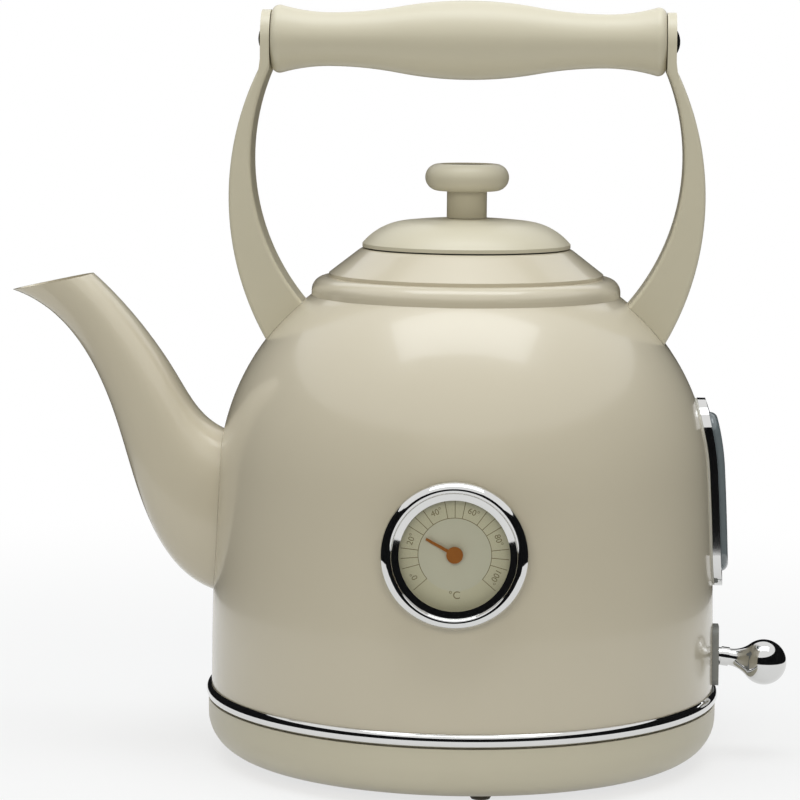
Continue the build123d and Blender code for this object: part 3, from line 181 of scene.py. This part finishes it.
cream_light = screen_colour(207, 198, 178)
cream_dark = screen_colour(201, 192, 172)
ivory_light = screen_colour(208, 201, 180)
ivory_dark = screen_colour(202, 195, 174)
enamel = coloured_finish(
    "cream_enamel", cream_light, cream_dark, gloss=0.16, dull=0.26, grain=900.0, grain_depth=0.00001, coat=0.3
)
moulded = coloured_finish(
    "cream_moulded",
    ivory_light,
    ivory_dark,
    gloss=0.34,
    dull=0.44,
    grain=1600.0,
    grain_depth=0.00001,
    coat=0.1,
)
satin = coloured_finish(
    "cream_satin", ivory_light, ivory_dark, gloss=0.38, dull=0.50, grain=2400.0, grain_depth=0.00002, coat=0.1
)
grey_plastic = coloured_finish(
    "grey_plastic",
    screen_colour(142, 143, 141),
    screen_colour(132, 133, 131),
    gloss=0.42,
    dull=0.55,
    grain=2600.0,
    grain_depth=0.00003,
)
black_plastic = coloured_finish(
    "black_plastic",
    screen_colour(38, 38, 39),
    screen_colour(30, 30, 31),
    gloss=0.40,
    dull=0.55,
    grain=2200.0,
    grain_depth=0.00003,
)
silicone = coloured_finish(
    "clear_silicone",
    screen_colour(206, 204, 196),
    screen_colour(192, 190, 182),
    gloss=0.45,
    dull=0.60,
    grain=700.0,
    grain_depth=0.00002,
)
# The feet's rubber is dark in its own right, and its colour is darkened further as painted shade for the
# shadow that falls under the base.
rubber = coloured_finish(
    "foot_rubber_and_painted_shade",
    screen_colour(74, 66, 50),
    screen_colour(62, 55, 42),
    gloss=0.65,
    dull=0.80,
    grain=1500.0,
    grain_depth=0.00005,
)
needle_paint = coloured_finish(
    "needle_paint",
    screen_colour(172, 102, 32),
    screen_colour(158, 92, 26),
    gloss=0.35,
    dull=0.45,
    grain=3000.0,
    grain_depth=0.00001,
)
print_ink = coloured_finish(
    "print_ink",
    screen_colour(146, 132, 100),
    screen_colour(134, 120, 88),
    gloss=0.55,
    dull=0.65,
    grain=4000.0,
    grain_depth=0.00001,
)

# %% [markdown]
# The dial is a painted disc. The field inside its scale is a shade lighter than the band that
# carries the figures, so this finish mixes two tones by the distance from the dial's middle.

# %% Dial paint
gauge_centre = Vector((pot_x, -0.083426, 0.0806))
arc_radius = 0.0115
dial_paint, place = start_finish("dial_paint")
from_middle = place.node(
    "ShaderNodeVectorMath", {"operation": "DISTANCE"}, {0: place, 1: gauge_centre}, "Value"
)
band = place.sum("GREATER_THAN", from_middle, arc_radius)
specks = place.noise(1800.0, 3.0)
inner_tone = specks.blend(screen_colour(215, 209, 192), screen_colour(221, 215, 198))
outer_tone = specks.blend(screen_colour(216, 208, 183), screen_colour(222, 214, 190))
dial_shader = place.node(
    "ShaderNodeBsdfPrincipled",
    {},
    {
        "Base Color": band.blend(inner_tone, outer_tone),
        "Roughness": specks * 0.1 + 0.5,
        "Normal": place.noise(3000.0, 2.0).bump(0.25, 0.00001),
    },
)
end_finish(dial_paint, dial_shader)

# %% [markdown]
# ## Metals
# The ring, the bezel, the window's frame and the switch are chromed: a mirror with a few smears. The
# floor of the pot and the screws are plain steel, which a lathe or a brush leaves with fine lines.
# Noise stretched along the lines would do on a flat bar, but round pieces want rings, so the lines
# follow the distance from the pot's axis.

# %% Metal finishes


def metal_finish(name, light, dark, gloss, dull, lines=0.0):
    """A bare metal: smears in its polish, and turned rings where lines is above 0."""
    material, place = start_finish(name)
    smears = place.noise(70.0, 5.0, 0.6)
    flat = place.node(
        "ShaderNodeVectorMath",
        {"operation": "MULTIPLY_ADD"},
        {0: place, 1: (1.0, 1.0, 0.15), 2: (-pot_x, 0.0, 0.0)},
    )
    distance = place.node("ShaderNodeVectorMath", {"operation": "LENGTH"}, {0: flat}, "Value")
    rings = place.node(
        "ShaderNodeTexNoise", {"noise_dimensions": "1D"}, {"W": distance, "Scale": 2600.0, "Detail": 3.0}
    )
    shader = place.node(
        "ShaderNodeBsdfPrincipled",
        {},
        {
            "Base Color": smears.blend(dark, light),
            "Roughness": smears * (dull - gloss) + gloss + (rings - 0.5) * lines,
            "Metallic": 1.0,
            "Normal": rings.bump(lines, 0.00002),
        },
    )
    return end_finish(material, shader)


def bare(red, green, blue):
    """A metal's own colour, in the linear numbers that a shader wants."""
    return (red, green, blue, 1.0)


chrome = metal_finish("chrome", bare(0.70, 0.70, 0.69), bare(0.66, 0.66, 0.65), gloss=0.03, dull=0.07)
steel = metal_finish(
    "turned_steel", bare(0.66, 0.65, 0.64), bare(0.56, 0.55, 0.54), gloss=0.24, dull=0.34, lines=0.25
)
brass = metal_finish(
    "brass", bare(0.80, 0.60, 0.30), bare(0.68, 0.48, 0.22), gloss=0.22, dull=0.36, lines=0.15
)
aluminium = metal_finish(
    "aluminium", bare(0.78, 0.79, 0.80), bare(0.68, 0.69, 0.70), gloss=0.30, dull=0.42, lines=0.2
)

# %% [markdown]
# ## Glass and the smoked lens
# The gauge's flat glass should only add a little shine over the dial. A full glass shader would
# also darken what is behind it, because light reaches the dial only through bent rays. A Fresnel node
# would turn the pane's back into a mirror from the side. So clear and glossy shaders are mixed by how
# far a face turns away: clear face on, mirror at a glancing angle. The lens of the water window is
# thick smoked plastic, nearly opaque, with a polished skin.

# %% See-through finishes
clear_glass, place = start_finish("clear_glass")
turned = place.node("ShaderNodeLayerWeight", {}, {"Blend": 0.5}, "Facing")
shine = turned * turned * turned * 0.5 + 0.02
film = place.noise(90.0, 4.0)
gloss = place.node("ShaderNodeBsdfGlossy", {}, {"Color": (1.0, 1.0, 1.0, 1.0), "Roughness": 0.03})
clear = place.node("ShaderNodeBsdfTransparent", {}, {"Color": (0.97, 0.98, 0.97, 1.0)})
pane = place.node("ShaderNodeMixShader", {}, {0: shine + film * 0.02, 1: clear, 2: gloss})
end_finish(clear_glass, pane)

smoked_lens, place = start_finish("smoked_lens")
depth = place.noise(35.0, 3.0)
lens_shader = place.node(
    "ShaderNodeBsdfPrincipled",
    {},
    {
        "Base Color": depth.blend(screen_colour(100, 110, 114), screen_colour(116, 126, 130)),
        "Roughness": place.noise(80.0, 4.0) * 0.08 + 0.06,
        "Coat Weight": 0.8,
        "Coat Roughness": 0.03,
        "Alpha": 0.88,
    },
)
end_finish(smoked_lens, lens_shader)

# %% [markdown]
# ## Hand out the finishes
# The record names a material slot for every solid. Slots and finishes are matched here, and each
# solid's own mesh gets the finish of its slot. Only the gauge's spindle differs: its tip shows in
# the needle's hub, and it was painted together with the needle.

# %% Finish every solid
finishes = {
    "body_paint": enamel,
    "cream_plastic": moulded,
    "cream_satin": satin,
    "chrome": chrome,
    "grey_plastic": grey_plastic,
    "black_plastic": black_plastic,
    "smoked_lens": smoked_lens,
    "clear_glass": clear_glass,
    "silicone": silicone,
    "dark_rubber": rubber,
    "steel": steel,
    "brass": brass,
    "aluminium": aluminium,
    "dial_face": dial_paint,
    "needle_paint": needle_paint,
}
for entry in frame["record"]["subparts"]:
    mesh = solids[entry["node"]].data
    mesh.materials.clear()
    mesh.materials.append(finishes[entry["material_slot"]])
spindle = solids["gauge_spindle"].data
spindle.materials.clear()
spindle.materials.append(needle_paint)

# %% [markdown]
# ## The print on the dial
# The dial is a painted disc with a printed scale: an inner arc, groups of short lines from the arc
# to the edge, and a figure in each wide field between two groups. A texture could draw it, but
# thin meshes stay sharp at any size. They are modelled flat at the origin and then laid on the dial.

# %% Where the dial is
gauge_tilt = math.radians(2.4)
print_height = -0.00037
dial_place = Matrix.Translation(gauge_centre) @ Matrix.Rotation(math.radians(90) - gauge_tilt, 4, "X")
line_end = 0.0170
line_width = 0.00022
field_step = 47.3
line_step = 11.2
first_field = 208.5
field_half = 13.0
figure_size = 0.0027
figure_distance = 0.0144
unit_size = 0.0034
unit_distance = 0.0128
scale_ends = (first_field + field_half, first_field - 5 * field_step - field_half)


def deselect_all():
    """Nothing selected and nothing in edit mode, so that the next operator meets only its piece."""
    if bpy.context.object and bpy.context.object.mode != "OBJECT":
        bpy.ops.object.mode_set(mode="OBJECT")
    bpy.ops.object.select_all(action="DESELECT")


def lay_on_dial(piece):
    """Move a flat piece from the origin onto the dial, with its place in its mesh."""
    deselect_all()
    piece.select_set(True)
    bpy.context.view_layer.objects.active = piece
    piece.matrix_world = dial_place @ Matrix.Translation((0, 0, print_height))
    bpy.ops.object.transform_apply(location=True, rotation=True, scale=True)
    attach(piece, "kettle")
    piece.data.materials.clear()
    piece.data.materials.append(print_ink)


print("scale runs from", scale_ends[0], "to", scale_ends[1], "degrees")

# %% [markdown]
# The arc starts as one narrow strip across the arc's line, and Spin sweeps its edge round the dial's
# middle. The straight lines are copies of one strip, each turned to its own heading.

# %% Print the scale


def strip(length, width, middle):
    """A flat strip of print along X, with its middle at a distance from the dial's centre."""
    deselect_all()
    bpy.ops.mesh.primitive_plane_add(size=1.0, location=(0, 0, 0))
    made = bpy.context.object
    bpy.ops.object.mode_set(mode="EDIT")
    bpy.ops.mesh.select_all(action="SELECT")
    bpy.ops.transform.resize(value=(length, width, 1.0))
    bpy.ops.transform.translate(value=(middle, 0, 0))
    bpy.ops.object.mode_set(mode="OBJECT")
    return made


dial_arc = strip(line_width, line_width, arc_radius)
dial_arc.name = "dial_arc"
bpy.ops.object.mode_set(mode="EDIT")
bpy.ops.mesh.select_all(action="SELECT")
bpy.ops.mesh.delete(type="ONLY_FACE")
bpy.ops.object.mode_set(mode="OBJECT")
for vertex in dial_arc.data.vertices:
    vertex.select = vertex.co.y > 0
bpy.ops.object.mode_set(mode="EDIT")
bpy.ops.mesh.delete(type="VERT")
bpy.ops.mesh.select_all(action="SELECT")
bpy.ops.transform.translate(value=(0, line_width / 2, 0))
bpy.ops.mesh.spin(
    steps=96, angle=math.radians(scale_ends[1] - scale_ends[0]), center=(0, 0, 0), axis=(0, 0, 1)
)
bpy.ops.object.mode_set(mode="OBJECT")
print("arc before turning:", len(dial_arc.data.polygons), "faces")


def turn_flat(piece, heading):
    """Turn a flat piece round the dial's middle, with its new place in its mesh."""
    deselect_all()
    piece.select_set(True)
    bpy.context.view_layer.objects.active = piece
    piece.rotation_euler = (0, 0, math.radians(heading))
    bpy.ops.object.transform_apply(location=False, rotation=True, scale=False)


turn_flat(dial_arc, scale_ends[1])
group_middles = [first_field - field_step * (count + 0.5) for count in range(5)]
headings = [middle + line_step * place for middle in group_middles for place in (-1, 0, 1)]
headings += scale_ends
lines = []
for heading in headings:
    line = strip(line_end - arc_radius, line_width, (line_end + arc_radius) / 2)
    turn_flat(line, heading)
    lines.append(line)

deselect_all()
for piece in (*lines, dial_arc):
    piece.select_set(True)
bpy.context.view_layer.objects.active = dial_arc
bpy.ops.object.join()
dial_scale = bpy.context.object
dial_scale.name = "dial_scale"
lay_on_dial(dial_scale)
print("scale:", len(lines), "lines,", len(dial_scale.data.polygons), "faces")

# %% [markdown]
# The figures are text, turned so that each stands on its own part of the scale, and made into
# meshes. A degree sign and a C in the open part of the dial say what the scale counts.

# %% Print the figures


def figure(words, size, distance, heading):
    """One printed word at a distance from the dial's middle, its top turned outwards."""
    deselect_all()
    bpy.ops.object.text_add(location=(0, 0, 0))
    made = bpy.context.object
    made.data.body = words
    made.data.size = size
    made.data.align_x = "CENTER"
    made.data.align_y = "CENTER"
    bpy.ops.object.convert(target="MESH")
    made = bpy.context.object
    made.location = (0, distance, 0)
    bpy.ops.object.transform_apply(location=True, rotation=False, scale=False)
    turn_flat(made, heading - 90)
    return made


figures = [
    figure(f"{20 * count}°", figure_size, figure_distance, first_field - field_step * count)
    for count in range(6)
]
figures.append(figure("°C", unit_size, -unit_distance, 90))
deselect_all()
for piece in figures:
    piece.select_set(True)
bpy.context.view_layer.objects.active = figures[0]
bpy.ops.object.join()
dial_figures = bpy.context.object
dial_figures.name = "dial_figures"
lay_on_dial(dial_figures)
print("figures:", len(figures), "words,", len(dial_figures.data.polygons), "faces")

# %% [markdown]
# ## The studio
# The kettle stands on a white table in front of a white background. The floor's own paper would go
# grey with distance from the lamps, so what the camera and the mirrors see of it fades from lit
# paper near the kettle, which keeps the shadow, to an even white further off.

# %% Floor
fade_start = 0.12
fade_end = 0.55
white_near = 0.72
deselect_all()
bpy.ops.mesh.primitive_plane_add(size=8.0, location=(0, 0, -0.0001))
floor = bpy.context.object
floor.name = "floor"
floor_paper, place = start_finish("floor_paper")
rays = place.node("ShaderNodeLightPath", {}, {}, "Is Camera Ray")
for kind in ("Is Glossy Ray", "Is Transmission Ray"):
    rays = place.sum("MAXIMUM", rays, place.node("ShaderNodeLightPath", {}, {}, kind))
reach = place.node("ShaderNodeVectorMath", {"operation": "LENGTH"}, {0: place}, "Value")
far = place.node(
    "ShaderNodeMapRange",
    {"interpolation_type": "SMOOTHSTEP"},
    {"Value": reach, "From Min": fade_start, "From Max": fade_end, "To Min": white_near, "To Max": 1.0},
)
paper = place.node("ShaderNodeBsdfDiffuse", {}, {"Color": (0.74, 0.74, 0.74, 1.0)})
glow = place.node("ShaderNodeEmission", {}, {"Color": (1.0, 1.0, 1.0, 1.0), "Strength": 1.0})
end_finish(floor_paper, place.node("ShaderNodeMixShader", {}, {0: rays * far, 1: paper, 2: glow}))
floor.data.materials.append(floor_paper)

# %% [markdown]
# Chrome shows its surroundings, so it needs something dark to look crisp, and glossy enamel needs it
# to keep its edges from fading into the white. A low black screen stands round the table, nearer
# behind the kettle than in front, and only mirrors see it. It is a cylinder without its ends.

# %% The black screen
screen_radius = 0.40
screen_height = 0.33
screen_forward = 0.06
deselect_all()
bpy.ops.mesh.primitive_cylinder_add(
    vertices=96,
    radius=screen_radius,
    depth=screen_height,
    end_fill_type="NOTHING",
    location=(pot_x, -screen_forward, screen_height / 2),
)
screen = bpy.context.object
screen.name = "black_screen"
screen_cloth, place = start_finish("screen_cloth")
cloth = place.node("ShaderNodeBsdfDiffuse", {}, {"Color": (0.012, 0.012, 0.013, 1.0)})
end_finish(screen_cloth, cloth)
screen.data.materials.append(screen_cloth)
screen.visible_camera = False
screen.visible_diffuse = False
screen.visible_shadow = False
print("screen:", len(screen.data.polygons), "faces")

# %% [markdown]
# The world gives the soft light of a white room. It is white where the camera, mirrors and clear
# pieces look into it, and weaker and warmer where it lights the kettle. Soft boxes do the rest: one
# overhead, which the dome mirrors, and two that mirrors don't see, a wider one over the first and
# one above the camera.

# %% The world and the soft boxes
world = bpy.data.worlds.new("studio")
bpy.context.scene.world = world
world.use_nodes = True
world.node_tree.nodes.clear()
sky = Wire(world.node_tree)
seen = sky.node("ShaderNodeLightPath", {}, {}, "Is Camera Ray")
for kind in ("Is Glossy Ray", "Is Transmission Ray"):
    seen = sky.sum("MAXIMUM", seen, sky.node("ShaderNodeLightPath", {}, {}, kind))
ambient = 0.21
white = (1.0, 1.0, 1.0, 1.0)
warm = (1.0, 0.98, 0.87, 1.0)
cool = (0.92, 0.96, 1.0)
background = sky.node(
    "ShaderNodeBackground",
    {},
    {"Color": seen.blend(warm, white), "Strength": seen * (1.0 - ambient) + ambient},
)
sky.node("ShaderNodeOutputWorld", {}, {"Surface": background})


def soft_box(name, place, width, height, power, colour, mirrored):
    """An area lamp that faces the kettle's middle. Mirrors see it only if it is mirrored."""
    lamp = bpy.data.lights.new(name, "AREA")
    lamp.shape = "RECTANGLE"
    lamp.size = width
    lamp.size_y = height
    lamp.energy = power
    lamp.color = colour
    made = bpy.data.objects.new(name, lamp)
    bpy.context.scene.collection.objects.link(made)
    made.location = place
    made.visible_glossy = mirrored
    made.rotation_mode = "QUATERNION"
    made.rotation_quaternion = (Vector((pot_x, 0.0, 0.11)) - made.location).to_track_quat("-Z", "Y")
    return made


soft_box(
    "box_above", Vector((pot_x, -0.15, 1.35)), width=1.15, height=0.6, power=6.2, colour=cool, mirrored=True
)
soft_box(
    "box_wide", Vector((pot_x, -0.05, 1.45)), width=1.6, height=1.0, power=12.6, colour=cool, mirrored=False
)
soft_box(
    "box_front",
    Vector((pot_x, -1.60, 0.75)),
    width=1.2,
    height=0.6,
    power=7.2,
    colour=warm[:3],
    mirrored=False,
)
bpy.context.scene.view_settings.view_transform = "Standard"
print("lamps:", [light.name for light in bpy.data.lights])
